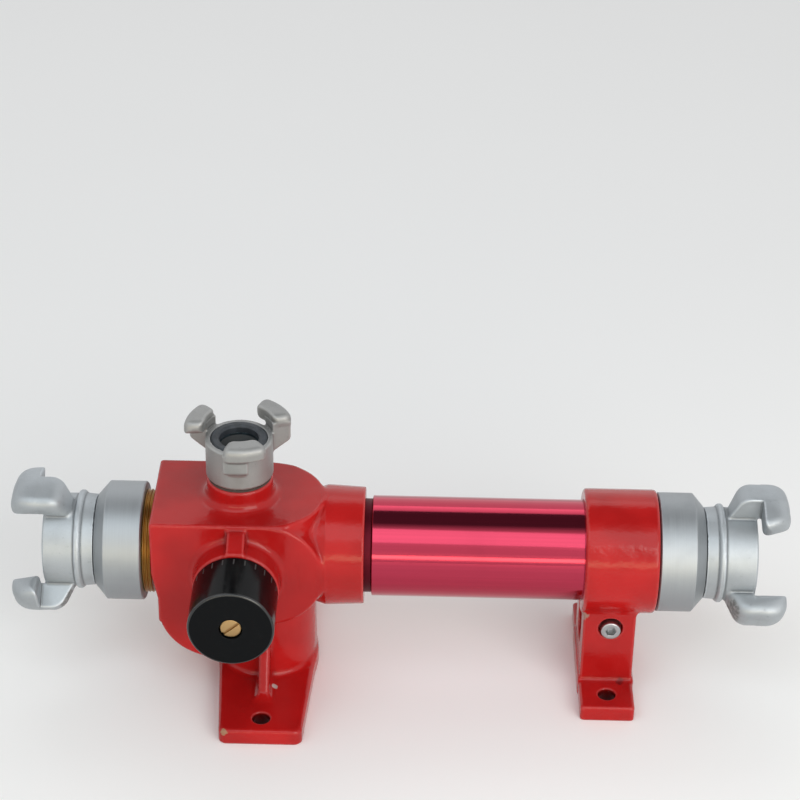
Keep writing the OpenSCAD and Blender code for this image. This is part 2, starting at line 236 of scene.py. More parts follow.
def body_field(edge, fillet):
    """Body casting: D-shaped blocks, belly, pedestal, foot, bosses, cup and rib, less the bores."""

    def field(x, y, z):
        h = z - AXIS_Z
        ahead = np.maximum(x, 0.0)
        flow_r = np.hypot(y, h)
        port_r = np.hypot(x - VALVE_X, y)
        valve_r = np.hypot(x - VALVE_X, h)
        inlet = np.interp(h, [-18.0, 0.0], [INLET_X + INLET_LEAN, INLET_X]) - x
        upper = smax(smax(np.hypot(ahead, y) - BODY_HALF, inlet, 2.4), h - BODY_RISE, edge)
        upper = np.maximum(upper, -h)
        along = x - BELLY_X
        belly = np.where(h < -BELLY_DROP, np.hypot(along, h + BELLY_DROP), np.abs(along)) - BELLY_R
        block = smax(np.hypot(ahead, h) - BODY_RISE, inlet, 2.0)
        lobe = np.minimum(block, np.maximum(belly, h + 16.0))
        lower = smax(lobe, np.abs(y) - BODY_HALF, edge)
        d = smin(upper, lower, 0.02 + 5.0 * ease((x - 6.0) / 12.0))
        boss_r = np.interp(x, [27.0, 30.5, 36.5, 57.0], [33.4, 34.0, 36.0, 35.0])
        boss = all_of(smax(flow_r - boss_r, x - BOSS_END, 1.3), 24.0 - x)
        d = smin(d, boss, 3.2)
        post = all_of(np.hypot(x, y) - POST_R, h, 3.0 - z)
        d = smin(d, post, 1.6)
        rib = slanted(np.abs(y) - 49.5, z - 12.0, RIB_SLANT)
        rib = smax(all_of(rib, z - 44.0, 20.0 - np.abs(y)), np.abs(x) - RIB_HALF, 2.4)
        d = smin(d, rib, 3.0)
        side = slanted(np.abs(x) - FOOT_HALF, np.abs(y), FOOT_SLANT)
        foot = smax(smax(side, np.abs(y) - FOOT_END, 5.0), z - FOOT_TOP, 2.8)
        d = smin(d, foot, fillet)
        port = all_of(smax(port_r - PORT_BOSS_R, z - PORT_BOSS_TOP, 2.0), 116.0 - z)
        d = smin(d, port, 6.5)
        cup = all_of(smax(valve_r - CUP_R, CUP_Y - y, 1.8), y + 25.0)
        d = smin(d, cup, fillet)
        slope = slanted(y + 38.0, h - 32.5, INDEX_SLANT)
        index = smax(smax(slope, h - INDEX_TOP, 1.0), np.abs(x - VALVE_X) - INDEX_HALF, 1.6)
        index = smax(all_of(index, 20.0 - h, y + 30.0), CUP_Y - y, 1.2)
        d = smin(d, index, 2.0)
        d = smax(d, -z, 0.8)
        bores = [
            all_of(flow_r - NOZZLE_R, x + 40.0),
            all_of(flow_r - 17.0, x - 40.0),
            all_of(flow_r - SPIGOT_R, SPIGOT_X - x),
            all_of(port_r - 16.6, 115.0 - z),
            all_of(port_r - 13.0, 112.0 - z),
            all_of(valve_r - 9.06, y + 22.0),
            all_of(valve_r - 14.0, y + 33.0),
            all_of(valve_r - 21.0, y + 41.5),
            np.maximum(np.hypot(x, np.abs(y) - BODY_HOLE_Y) - HOLE_R, z - FOOT_TOP - 4.0),
        ]
        for bore in bores:
            d = smax(d, -bore, 1.0)
        return d

    return field


def bracket_field(edge, fillet):
    """Clamp bracket: ring and leg on a foot, less the tube bore, clamp gap, screw seat and holes."""

    def field(x, y, z):
        h = z - AXIS_Z
        flow_r = np.hypot(y, h)
        ring = smax(flow_r - RING_R, np.abs(x - RING_X) - RING_HALF, 2.4)
        leg = smax(np.abs(x - BRACKET_X) - LEG_HALF, np.abs(y) - LEG_SIDE, edge * 0.8)
        leg = all_of(leg, h, 1.0 - z)
        d = smin(ring, leg, 3.0)
        plan = smax(np.abs(x - BRACKET_X) - 16.25, np.abs(y) - 52.5, 2.6)
        foot = smax(plan, z - FOOT_TOP, edge * 0.8)
        d = smin(d, foot, fillet)
        d = smax(d, -z, 0.8)
        gap = np.where(z < GAP_Z, np.hypot(y, z - GAP_Z), np.abs(y)) - GAP_HALF
        seat_r = np.hypot(x - CLAMP_X, z - CLAMP_Z)
        bores = [
            flow_r - TUBE_R,
            np.maximum(gap, h),
            np.maximum(seat_r - 4.5, y),
            np.maximum(seat_r - 7.2, y + 21.0),
            all_of(seat_r - 4.0, -y, y - 24.0),
            np.maximum(np.hypot(x - BRACKET_X, np.abs(y) - BRACKET_HOLE_Y) - HOLE_R, z - FOOT_TOP - 4.0),
        ]
        for bore in bores:
            d = smax(d, -bore, 1.0)
        return d

    return field


def sector(x, y, first, last):
    """Distance to the wedge between two half planes through the axis, less than a half turn apart."""
    a, b = math.radians(first), math.radians(last)
    return np.maximum(x * math.sin(a) - y * math.cos(a), y * math.cos(b) - x * math.sin(b))


def folded(x, y, count, last):
    """Turns every point into the part of the circle that holds the first of count equal claws."""
    turn = 2 * math.pi / count
    lead = (turn - math.radians(last)) / 2
    angle = np.mod(np.arctan2(y, x) + lead, turn) - lead
    r = np.hypot(x, y)
    return r * np.cos(angle), r * np.sin(angle), r


def swung(x, y, degrees):
    """Points turned back about Z, so that a claw that starts at this angle starts at 0."""
    a = math.radians(degrees)
    return x * math.cos(a) + y * math.sin(a), y * math.cos(a) - x * math.sin(a)


def claw_head_field(x, y, z):
    """Two-claw head about Z, face at 0: revolved barrel and stem, arms, and hooks that run past them."""
    r = np.hypot(x, y)
    barrel = outline_field(r, z, [
        (WAY_R, -5.0), (GASKET_R, -5.0), (GASKET_R, 0.0), (26.7, 0.0), (BARREL_R, -0.8),
        (BARREL_R, -18.4), (28.9, -18.9), (29.5, -19.7), (29.5, -21.3), (28.9, -22.2), (27.7, -23.2),
        (27.1, -30.0), (STEM_R, -30.0), (STEM_R, -34.7), (22.1, -34.7), (22.1, -38.3), (STEM_R, -38.3),
        (STEM_R, -39.3), (21.1, -39.3), (21.1, -42.5), (STEM_R, -42.5), (STEM_R, -HEAD_TAIL),
        (WAY_R, -HEAD_TAIL)])
    root = slanted(r - BARREL_R, z + 17.4, CLAW_SLANT)
    inner = 27.7 - 1.9 * ease((-0.3 - z) / 1.2) - r
    outer = smax(r - CLAW_R, z - CLAW_REACH + 0.25, 12.5)
    stock = smax(smax(outer, root, 5.5), inner, 0.9)
    lip = smax(outer, smax(2.0 - z, 27.9 - r, 1.2), 1.2)
    head = barrel
    for start in (0.0, CLAW_SPACING):
        cx, cy = swung(x, y, start)
        arm = smax(stock, sector(cx, cy, -90.0, CLAW_ARM), 1.5)
        hook = smax(lip, sector(cx, cy, -90.0, CLAW_HOOK) + 0.3 * (z - 11.0), 7.0)
        claw = smax(smin(arm, hook, 0.7), sector(cx, cy, -5.5, 150.0), 8.0)
        head = smin(head, claw, 1.8)
    return head


def suction_head_field(x, y, z):
    """Three-claw suction head about Z, face at 0: barrel with bore, short arms and rounded hooks."""
    cx, cy, r = folded(x, y, 3, 53.0)
    barrel = outline_field(r, z, [
        (11.5, -4.0), (16.8, -4.0), (16.8, 0.0), (19.0, 0.0), (SUCTION_R, -0.8), (SUCTION_R, -23.3),
        (18.3, -25.0), (16.6, -25.0), (16.6, -44.0), (12.0, -44.0), (12.0, -28.2), (7.0, -23.2),
        (7.0, -20.2), (11.5, -15.7)])
    root = slanted(r - SUCTION_R, z + 13.7, SUCTION_SLANT)
    arm = smax(smax(r - 31.1, root, 1.6), sector(cx, cy, 0.0, 28.5), 1.4)
    arm = smax(all_of(arm, z - 6.0), 20.0 - r, 1.0)
    lip = smax(smax(r - 32.0, z - SUCTION_REACH, 4.6), smax(2.2 - z, 20.2 - r, 1.2), 1.6)
    hook = smax(lip, sector(cx, cy, -1.0, 51.0), 5.0)
    claw = smin(arm, hook, 0.8)
    return smin(barrel, claw, 1.8)


def knob_screw_field(x, y, z):
    """Cheese-head screw about Z with its seat at 0: slightly domed head, shank and a straight slot."""
    r = np.hypot(x, y)
    head = smax(smax(r - 6.2, np.hypot(r, z + 34.0) - 39.2, 0.7), -z, 0.3)
    d = np.minimum(head, all_of(r - 2.5, z - 2.0, -11.0 - z))
    turn = math.radians(40)
    across = np.abs(y * math.cos(turn) - x * math.sin(turn)) - 0.75
    return smax(d, -np.maximum(across, 3.6 - z), 0.3)


def clamp_screw_field(x, y, z):
    """Socket screw about Z with its seat at 0: round head with a hexagon socket, and a shank."""
    r = np.hypot(x, y)
    head = smax(smax(r - 5.9, z - CLAMP_HEAD, 1.1), -z, 0.4)
    d = np.minimum(head, all_of(r - 4.0, z - 2.0, -38.0 - z))
    hexagon = np.maximum(np.abs(y), np.abs(x) * 0.866 + np.abs(y) * 0.5) - 2.8
    return smax(d, -np.maximum(hexagon, 2.6 - z), 0.4)


# Meshes from fields and from profiles


def surface_net(field, low, high, step):
    """Surface where a field is zero: each grid cell that it crosses has one vertex, at the mean of the
    crossings on the cell's edges, and each crossed grid edge is one quad between its four cells."""
    low, high = np.asarray(low, float), np.asarray(high, float)
    count = np.ceil((high - low) / step).astype(int) + 1
    axes = [low[i] + step * np.arange(count[i]) for i in range(3)]
    f = np.empty(count)
    for i in range(0, count[0], 16):
        f[i:i + 16] = field(*np.meshgrid(axes[0][i:i + 16], axes[1], axes[2], indexing="ij"))
    inside = f < 0.0
    along = np.eye(3, dtype=int)
    around = [(-1, -1), (0, -1), (0, 0), (-1, 0)]
    cells, places, quads = [], [], []
    for a in range(3):
        b, c = (a + 1) % 3, (a + 2) % 3
        near = tuple(slice(0, -1) if i == a else slice(None) for i in range(3))
        far = tuple(slice(1, None) if i == a else slice(None) for i in range(3))
        at = np.argwhere(inside[near] != inside[far])
        f0, f1 = f[tuple(at.T)], f[tuple((at + along[a]).T)]
        place = at.astype(float)
        place[:, a] += f0 / (f0 - f1)
        ring = np.stack([at + db * along[b] + dc * along[c] for db, dc in around], 1)
        ids = np.ravel_multi_index(tuple(np.moveaxis(ring, 2, 0)), tuple(count))
        quads.append(np.where((f0 < 0.0)[:, None], ids, ids[:, ::-1]))
        cells.append(ids.ravel())
        places.append(np.repeat(place, 4, 0))
    ids, index = np.unique(np.concatenate(cells), return_inverse=True)
    places = np.concatenate(places)
    total = np.bincount(index)
    verts = np.stack([np.bincount(index, places[:, i]) / total for i in range(3)], 1)
    return low + step * verts, np.searchsorted(ids, np.concatenate(quads))


def slope_of(field, v, reach):
    """Gradient of a field at points, by central differences over the given reach."""
    out = np.empty_like(v)
    for i in range(3):
        offset = np.zeros(3)
        offset[i] = reach
        out[:, i] = (field(*(v + offset).T) - field(*(v - offset).T)) / (2 * reach)
    return out


def settle(field, v, quads, step, rounds=4):
    """Evens out a net: every vertex moves half way to its neighbours' mean, then back onto the surface."""
    a, b = quads.ravel(), np.roll(quads, -1, 1).ravel()
    near = np.bincount(a, minlength=len(v)) + np.bincount(b, minlength=len(v))
    for _ in range(rounds):
        mean = np.stack([np.bincount(a, v[b, i], len(v)) + np.bincount(b, v[a, i], len(v))
                         for i in range(3)], 1)
        v = v + 0.5 * (mean / near[:, None] - v)
        for _ in range(2):
            slope = slope_of(field, v, 0.05)
            pull = field(*v.T) / np.maximum((slope ** 2).sum(1), 0.2)
            v = v - slope * np.clip(pull, -step, step)[:, None]
    return v


def bend_of(field, v, reach):
    """How sharply the surface bends, as the field's Laplacian: above 0 on edges, below in creases."""
    out = -6.0 * field(*v.T)
    for i in range(3):
        offset = np.zeros(3)
        offset[i] = reach
        out += field(*(v + offset).T) + field(*(v - offset).T)
    return np.clip(out / reach, -1.0, 1.0)


def new_mesh(name, v, quads, normals, marks=None):
    """Object at the origin from vertices in millimetres, quads and normals, with marks as attributes."""
    mesh = bpy.data.meshes.new(name)
    mesh.vertices.add(len(v))
    mesh.vertices.foreach_set("co", (v * MM).astype(np.float32).ravel())
    mesh.loops.add(quads.size)
    mesh.loops.foreach_set("vertex_index", quads.astype(np.int32).ravel())
    mesh.polygons.add(len(quads))
    mesh.polygons.foreach_set("loop_start", np.arange(0, quads.size, 4, dtype=np.int32))
    mesh.update(calc_edges=True)
    mesh.polygons.foreach_set("use_smooth", np.ones(len(quads), bool))
    for key, value in (marks or {}).items():
        mesh.attributes.new(key, "FLOAT", "POINT").data.foreach_set("value", value.astype(np.float32))
    mesh.normals_split_custom_set_from_vertices(normals.tolist())
    piece = bpy.data.objects.new(name, mesh)
    bpy.context.scene.collection.objects.link(piece)
    return piece


def claw_back(start):
    """Share of raw casting on a claw head: the slanted back of the claw that starts at this angle."""
    def share(v, normals):
        r = np.hypot(v[:, 0], v[:, 1])
        cx, cy = swung(v[:, 0], v[:, 1], start)
        leaning = ease((-normals[:, 2] - 0.55) / 0.2) * ease((1.5 - v[:, 2]) / 1.5)
        near = ease((r - 30.2) / 1.6) * ease((v[:, 2] + 18.5) / 2.0)
        return leaning * near * (sector(cx, cy, -10.0, 45.0) < 0.0)
    return share


def bolt_hole_shade(x, y):
    """Share of painted shade in the foot holes of a casting, dark as if unlit: two bores at x, at y to
    either side.
    """
    def share(v, normals):
        r = np.hypot(v[:, 0] - x, np.abs(v[:, 1]) - y)
        return ease((6.0 - r) / 0.4) * ease((10.2 - v[:, 2]) / 2.0)
    return share


def bore_shade_and_raw_backs(v, normals):
    """Share of painted shade in the suction head's bore, darkest in its upper part as if in shadow, and of
    raw casting on a little of the claw backs.
    """
    r = np.hypot(v[:, 0], v[:, 1])
    # Painted shade: the whole bore darkens, its upper part most, as if in shadow.
    bore = ease((12.4 - r) / 0.7) * (1.0 - 0.6 * ease((-5.5 - v[:, 2]) / 0.5))
    return np.maximum(bore, 0.5 * ease((-normals[:, 2] - 0.5) / 0.2) * ease((r - 20.5) / 1.0))


def cast_piece(name, field, low, high, step, place=None, raw=None):
    """Piece from a field, built about the field's own axes and then placed by a turn and a shift."""
    v, quads = surface_net(field, low, high, step)
    v = settle(field, v, quads, step)
    normals = slope_of(field, v, 0.12)
    normals /= np.maximum(np.linalg.norm(normals, axis=1), 1e-9)[:, None]
    marks = {"edge": bend_of(field, v, 1.2)}
    # The raw mark is raw casting on claw backs, or painted shade in foot holes and in the suction bore.
    if raw:
        marks["raw"] = raw(v, normals)
    turn, shift = place or (np.eye(3), np.zeros(3))
    return new_mesh(name, v @ turn.T + shift, quads, normals @ turn.T, marks)


def rounded(profile, steps=6):
    """Points and normals of a closed profile of corners (r, t, radius): each corner is a tangent arc."""
    p = np.array(profile, float)
    q, radius = p[:, :2], np.maximum(p[:, 2], 0.06)
    if (q[:, 0] * np.roll(q[:, 1], -1) - np.roll(q[:, 0], -1) * q[:, 1]).sum() < 0:
        q, radius = q[::-1], radius[::-1]
    out_side, in_side = np.roll(q, -1, 0) - q, q - np.roll(q, 1, 0)
    out_len, in_len = np.linalg.norm(out_side, axis=1), np.linalg.norm(in_side, axis=1)
    e1, e2 = in_side / in_len[:, None], out_side / out_len[:, None]
    turn = np.arctan2(e1[:, 0] * e2[:, 1] - e1[:, 1] * e2[:, 0], (e1 * e2).sum(1))
    half = np.tan(np.abs(turn) / 2)
    back = np.minimum(radius * half, 0.45 * np.minimum(in_len, out_len))
    radius = back / np.maximum(half, 1e-9)
    bulge = np.sign(turn)
    start = q - e1 * back[:, None]
    n1 = np.stack([e1[:, 1], -e1[:, 0]], 1)
    centre = start - (bulge * radius)[:, None] * n1
    swing = turn[:, None] * np.linspace(0.0, 1.0, steps)
    cos, sin = np.cos(swing), np.sin(swing)
    normal = np.stack([n1[:, :1] * cos - n1[:, 1:] * sin, n1[:, :1] * sin + n1[:, 1:] * cos], 2)
    points = centre[:, None] + (bulge * radius)[:, None, None] * normal
    return points.reshape(-1, 2), normal.reshape(-1, 2)


def lathe(name, profile, origin, axis, count=160):
    """Piece turned about an axis: a rounded profile (r, t) carried round the circle in equal steps."""
    points, flat = rounded(profile)
    w = np.array(axis, float)
    u = np.array([0.0, 0.0, 1.0]) if abs(w[2]) < 0.5 else np.array([1.0, 0.0, 0.0])
    u = np.cross(np.cross(w, u), w)
    s = np.cross(w, u)
    angle = np.linspace(0.0, 2 * math.pi, count, endpoint=False)
    spoke = np.cos(angle)[:, None] * u + np.sin(angle)[:, None] * s
    v = np.asarray(origin, float) + points[:, :1, None] * spoke[None] + points[:, 1:, None] * w
    n = flat[:, :1, None] * spoke[None] + flat[:, 1:, None] * w
    rows, cols = np.meshgrid(np.arange(len(points)), np.arange(count), indexing="ij")
    below, beside = (rows + 1) % len(points), (cols + 1) % count
    ring = [(rows, cols), (rows, beside), (below, beside), (below, cols)]
    quads = np.stack([row * count + col for row, col in ring], 2).reshape(-1, 4)
    v, n = v.reshape(-1, 3), n.reshape(-1, 3)
    facing = np.cross(v[quads[:, 2]] - v[quads[:, 0]], v[quads[:, 3]] - v[quads[:, 1]])
    if (facing * n[quads[:, 0]]).sum() < 0:
        quads = quads[:, ::-1]
    return new_mesh(name, v, quads, n)


# Finishes


def add_node(tree, kind, inputs=None, **settings):
    """New node with its settings: each input is linked where a socket is given, or else set."""
    node = tree.nodes.new(kind)
    for key, value in settings.items():
        setattr(node, key, value)
    for key, value in (inputs or {}).items():
        if isinstance(value, bpy.types.NodeSocket):
            tree.links.new(value, node.inputs[key])
        else:
            node.inputs[key].default_value = value
    return node


class Finish:
    """A material under way, with its node tree and the object's own coordinates."""

    def __init__(self, name):
        material = bpy.data.materials.new(name)
        material.use_nodes = True
        self.tree = material.node_tree
        self.tree.nodes.clear()
        self.co = self.add("ShaderNodeTexCoord").outputs["Object"]

    def add(self, kind, inputs=None, **settings):
        """New node in this material."""
        return add_node(self.tree, kind, inputs, **settings)

    def mark(self, name):
        """Number that a piece's mesh carries at each point under this name."""
        return self.add("ShaderNodeAttribute", attribute_name=name).outputs["Fac"]

    def noise(self, scale, detail=3.0, stretch=None, rough=0.55):
        """Noise of the given scale per metre, stretched along the axes if asked."""
        co = self.co
        if stretch:
            co = self.add("ShaderNodeMapping", {"Vector": co, "Scale": stretch}).outputs[0]
        return self.add("ShaderNodeTexNoise", {
            "Vector": co, "Scale": scale, "Detail": detail, "Roughness": rough}).outputs[0]

    def span(self, value, low, high, to_low=0.0, to_high=1.0):
        """Value mapped from one span to another, smoothly and held at the ends."""
        return self.add("ShaderNodeMapRange", {
            "Value": value, "From Min": low, "From Max": high, "To Min": to_low, "To Max": to_high},
            interpolation_type="SMOOTHSTEP").outputs[0]

    def math(self, operation, a, b=0.0):
        """One step of arithmetic on two numbers."""
        return self.add("ShaderNodeMath", {0: a, 1: b}, operation=operation).outputs[0]

    def mix(self, share, a, b):
        """Colour a going over to colour b by share."""
        a, b = (c if isinstance(c, bpy.types.NodeSocket) else (*c, 1.0) for c in (a, b))
        return self.add("ShaderNodeMix", {0: share, 6: a, 7: b}, data_type="RGBA").outputs[2]

    def bump(self, height, strength, depth, under=None):
        """Normal bent by a height, on top of another bent normal where one is given."""
        inputs = {"Height": height, "Strength": strength, "Distance": depth}
        if under is not None:
            inputs["Normal"] = under
        return self.add("ShaderNodeBump", inputs).outputs[0]

    def spot(self, place, radius, ragged):
        """Share of a ragged patch about a point given in millimetres."""
        centre = tuple(c * MM for c in place)
        apart = self.add("ShaderNodeVectorMath", {0: self.co, 1: centre}, operation="DISTANCE")
        fray = self.math("MULTIPLY", ragged, radius * MM * 1.6)
        ragged_apart = self.math("ADD", apart.outputs["Value"], fray)
        return self.span(ragged_apart, radius * MM * 1.55, radius * MM * 1.85, 1.0, 0.0)

    def shade(self, **inputs):
        """Closes the material with one Principled shader."""
        named = {key.replace("_", " "): value for key, value in inputs.items()}
        shader = self.add("ShaderNodeBsdfPrincipled", named)
        self.add("ShaderNodeOutputMaterial", {"Surface": shader.outputs[0]})


def tint(colour, factor, lift=0.0):
    """Colour times a factor, plus a lift, held within 0 and 1."""
    return tuple(min(1.0, c * factor + lift) for c in colour)


# Paint chips: place and radius in millimetres, and the colour that shows there
BODY_CHIPS = [
    ((-21.3, -81.3, 8.6), 2.4, (0.33, 0.17, 0.10)),
    ((6.1, -39.7, 10.4), 2.1, (0.55, 0.50, 0.48)),
]
BRACKET_CHIPS = [
    ((215.0, -28.3, 11.5), 2.6, (0.16, 0.004, 0.005)),
    ((190.6, -24.6, 58.0), 3.4, (0.30, 0.16, 0.13)),
]


def enamel(name, colour, chips, gritty=0.0):
    """Brushed-on gloss enamel over a sand casting: colour drift, thin pale edges, painted shade in creases
    and in the foot holes, chips.
    """
    m = Finish(name)
    drift = m.noise(22.0, 2.0)
    grain = m.noise(420.0, 4.0)
    peel = m.noise(1700.0, 2.0)
    swell = m.noise(85.0, 3.0)
    edge = m.mark("edge")
    shade = m.mix(m.span(drift, 0.35, 0.65), tint(colour, 0.86), tint(colour, 1.10))
    # Painted shade: the colour darkens where the surface bends inward, in creases and fillets.
    shade = m.mix(m.span(edge, -0.10, -0.60, 0.0, 0.55), shade, tint(colour, 0.45))
    rub = m.math("ADD", edge, m.math("MULTIPLY", grain, 0.5))
    shade = m.mix(m.span(rub, 0.55, 1.05, 0.0, 0.40), shade, tint(colour, 1.10, 0.05))
    # Painted shade in the foot holes, carried by the raw mark of the casting.
    hole_shade = m.mark("raw")
    shade = m.mix(m.math("MULTIPLY", hole_shade, 0.9), shade, tint(colour, 0.12))
    bare = None
    for place, radius, under in chips:
        patch = m.spot(place, radius, grain)
        shade = m.mix(patch, shade, under)
        bare = patch if bare is None else m.math("MAXIMUM", bare, patch)
    rough = m.span(drift, 0.3, 0.7, 0.11, 0.19)
    rough = m.math("ADD", rough, m.math("MULTIPLY", bare, 0.25))
    skin = m.bump(swell, 0.40 + gritty, 0.0008)
    skin = m.bump(grain, 0.15 + gritty, 0.0003, skin)
    skin = m.bump(peel, 0.08, 0.0001, skin)
    m.shade(Base_Color=shade, Roughness=rough, Normal=skin, Specular_IOR_Level=0.30)


def anodised(name, colour):
    """Drawn and anodised tube: mirror-like, fine lines along its length, and a rougher neck at the body
    darkened with painted shade.
    """
    m = Finish(name)
    draw = m.noise(1.0, 3.0, (5.0, 900.0, 900.0))
    cloud = m.noise(30.0, 3.0)
    shade = m.mix(m.span(draw, 0.3, 0.7), tint(colour, 0.96), tint(colour, 1.04))
    shade = m.mix(m.span(cloud, 0.45, 0.8, 0.0, 0.35), shade, tint(colour, 0.80))
    along = m.add("ShaderNodeSeparateXYZ", {0: m.co}).outputs[0]
    # Painted shade: the neck at the body is darkened as if in shadow, and made rougher.
    neck = m.span(along, 0.0629, 0.0633, 1.0, 0.0)
    shade = m.mix(neck, shade, tint(colour, 0.22))
    rough = m.math("ADD", m.span(draw, 0.2, 0.8, 0.08, 0.12), m.math("MULTIPLY", cloud, 0.04))
    rough = m.math("ADD", rough, m.math("MULTIPLY", neck, 0.4))
    m.shade(Base_Color=shade, Roughness=rough, Metallic=1.0, Normal=m.bump(draw, 0.02, 0.0001),
            Specular_IOR_Level=0.5)


def turned(name, colour, rough_low, rough_high, axis_scale):
    """Turned metal: rings of fine tool marks across the axis, a little clouded."""
    m = Finish(name)
    rings = m.noise(1.0, 3.0, axis_scale)
    cloud = m.noise(45.0, 4.0)
    pits = m.noise(900.0, 2.0)
    shade = m.mix(m.span(rings, 0.3, 0.7), tint(colour, 0.95), tint(colour, 1.03))
    shade = m.mix(m.span(cloud, 0.5, 0.8, 0.0, 0.5), shade, tint(colour, 0.78))
    rough = m.math("ADD", m.span(rings, 0.3, 0.7, rough_low, rough_high), m.math("MULTIPLY", cloud, 0.08))
    skin = m.bump(rings, 0.03, 0.0001)
    skin = m.bump(pits, 0.03, 0.0001, skin)
    m.shade(Base_Color=shade, Roughness=rough, Metallic=1.0, Normal=skin)


def blasted(name, colour, stain, rough_low, rough_high, metallic, grit):
    """Blasted or cast metal: fine grain, bright edges, painted shade in corners, stained where it is left
    raw.
    """
    m = Finish(name)
    grain = m.noise(1100.0, 3.0)
    cloud = m.noise(38.0, 3.0)
    pits = m.noise(350.0, 4.0)
    edge = m.mark("edge")
    shade = m.mix(m.span(cloud, 0.3, 0.7), tint(colour, 0.88), tint(colour, 1.08))
    # Painted shade: the colour darkens in corners, where the surface bends inward.
    shade = m.mix(m.span(edge, -0.08, -0.6, 0.0, 0.6), shade, tint(colour, 0.40))
    shade = m.mix(m.span(edge, 0.25, 0.9, 0.0, 0.6), shade, tint(colour, 1.35))
    shade = m.mix(m.span(pits, 0.62, 0.75, 0.0, 0.35), shade, tint(colour, 0.55))
    # The raw mark is raw casting on the claw backs, and painted shade in the suction head's bore.
    raw = m.mark("raw")
    blotch = m.mix(m.span(pits, 0.40, 0.62), tint(stain, 0.7), tint(stain, 1.3))
    shade = m.mix(raw, shade, blotch)
    rough = m.math("ADD", m.span(grain, 0.3, 0.7, rough_low, rough_high), m.math("MULTIPLY", cloud, 0.06))
    rough = m.math("ADD", rough, m.math("MULTIPLY", raw, 0.22))
    skin = m.bump(grain, grit, 0.0002)
    skin = m.bump(pits, m.math("ADD", m.math("MULTIPLY", raw, 0.3), grit), 0.0004, skin)
    m.shade(Base_Color=shade, Roughness=rough, Metallic=metallic, Normal=skin)


def moulded(name, colour, rough_low, rough_high, grit):
    """Moulded rubber or pressed fibre: dull, finely mottled."""
    m = Finish(name)
    mottle = m.noise(160.0, 4.0)
    grain = m.noise(1400.0, 2.0)
    shade = m.mix(m.span(mottle, 0.3, 0.7), tint(colour, 0.75), tint(colour, 1.35))
    rough = m.span(grain, 0.3, 0.7, rough_low, rough_high)
    m.shade(Base_Color=shade, Roughness=rough, Normal=m.bump(grain, grit, 0.0002))


def knob_plastic(name, colour):
    """Polished black plastic with fine swirls, and pale dial strokes round the skirt near the pointer."""
    m = Finish(name)
    split = m.add("ShaderNodeSeparateXYZ", {0: m.co}).outputs
    side = m.math("SUBTRACT", split[0], VALVE_X * MM)
    rise = m.math("SUBTRACT", split[2], AXIS_Z * MM)
    turn = m.math("ARCTAN2", side, rise)
    out = m.math("SQRT", m.math("ADD", m.math("MULTIPLY", side, side), m.math("MULTIPLY", rise, rise)))
    pitch = math.radians(15)
    saw = m.math("ABSOLUTE", m.math("SUBTRACT", m.math("FRACT", m.math(
        "ADD", m.math("DIVIDE", turn, pitch), 20.5)), 0.5))
    stroke = m.span(saw, 0.055, 0.075, 1.0, 0.0)
    back = KNOB_HIGH[1] * MM
    band = m.math("MULTIPLY", m.span(split[1], back - 0.0070, back - 0.0066),
                  m.span(split[1], back - 0.0022, back - 0.0018, 1.0, 0.0))
    reach = m.span(m.math("ABSOLUTE", turn), math.radians(137), math.radians(138), 1.0, 0.0)
    skirt = m.span(out, 0.0244, 0.0246)
    marks = m.math("MULTIPLY", m.math("MULTIPLY", stroke, band), m.math("MULTIPLY", reach, skirt))
    dust = m.noise(240.0, 4.0)
    swirl = m.noise(1.0, 2.0, (700.0, 60.0, 700.0))
    shade = m.mix(m.span(dust, 0.55, 0.8, 0.0, 0.5), colour, tint(colour, 1.6, 0.003))
    shade = m.mix(m.math("MULTIPLY", marks, 0.12), shade, (0.42, 0.43, 0.42))
    rough = m.math("ADD", m.span(dust, 0.3, 0.8, 0.14, 0.26), m.math("MULTIPLY", marks, 0.3))
    skin = m.bump(swirl, 0.04, 0.0001)
    front = m.span(split[1], KNOB_LOW[1] * MM + 0.0012, KNOB_LOW[1] * MM + 0.0014, 1.0, 0.0)
    rim = m.math("MULTIPLY", front, m.span(out, 0.0236, 0.0239))
    gloss = m.math("ADD", m.math("MULTIPLY", rim, 0.6), 0.09)
    m.shade(Base_Color=shade, Roughness=rough, Normal=skin, Specular_IOR_Level=gloss)


# Tool marks per metre along each axis, for pieces turned about X and about Y
RINGS_X = (1800.0, 25.0, 25.0)
RINGS_Y = (25.0, 1800.0, 25.0)


def finishes(colours):
    """Makes every finish, once."""
    if "red enamel" in bpy.data.materials:
        return
    enamel("red enamel", tuple(colours.paint), BODY_CHIPS)
    enamel("red enamel bracket", tuple(colours.paint), BRACKET_CHIPS, 0.06)
    anodised("raspberry anodising", tuple(colours.anodising))
    turned("bright turned aluminium", tuple(colours.turned), 0.44, 0.52, RINGS_X)
    blasted("satin aluminium", tuple(colours.satin), (0.30, 0.31, 0.315), 0.42, 0.52, 0.70, 0.08)
    # Its stain colour also serves as the painted shade in the suction head's bore.
    blasted("cast aluminium", tuple(colours.cast), (0.020, 0.036, 0.046), 0.40, 0.50, 0.60, 0.14)
    turned("machined brass", tuple(colours.brass), 0.24, 0.36, RINGS_X)
    turned("screw brass", tint(tuple(colours.brass), 1.0, 0.07), 0.30, 0.42, RINGS_Y)
    turned("zinc plated steel", (0.44, 0.45, 0.46), 0.24, 0.34, RINGS_Y)
    moulded("black rubber", (0.022, 0.024, 0.027), 0.55, 0.75, 0.10)
    moulded("grey gasket", (0.032, 0.038, 0.046), 0.45, 0.62, 0.10)
    moulded("pressed fibre", (0.05, 0.035, 0.03), 0.70, 0.85, 0.20)
    knob_plastic("polished black plastic", tuple(colours.knob))


def dress(piece, finish):
    """Gives a piece one finish."""
    piece.data.materials.clear()
    piece.data.materials.append(bpy.data.materials[finish])


def fit(piece, node, body, finish):
    """Lets a new piece stand for a CAD node, ride on its body and carry its finish."""
    dress(piece, finish)
    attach(piece, body)
    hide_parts(node)


# Operators


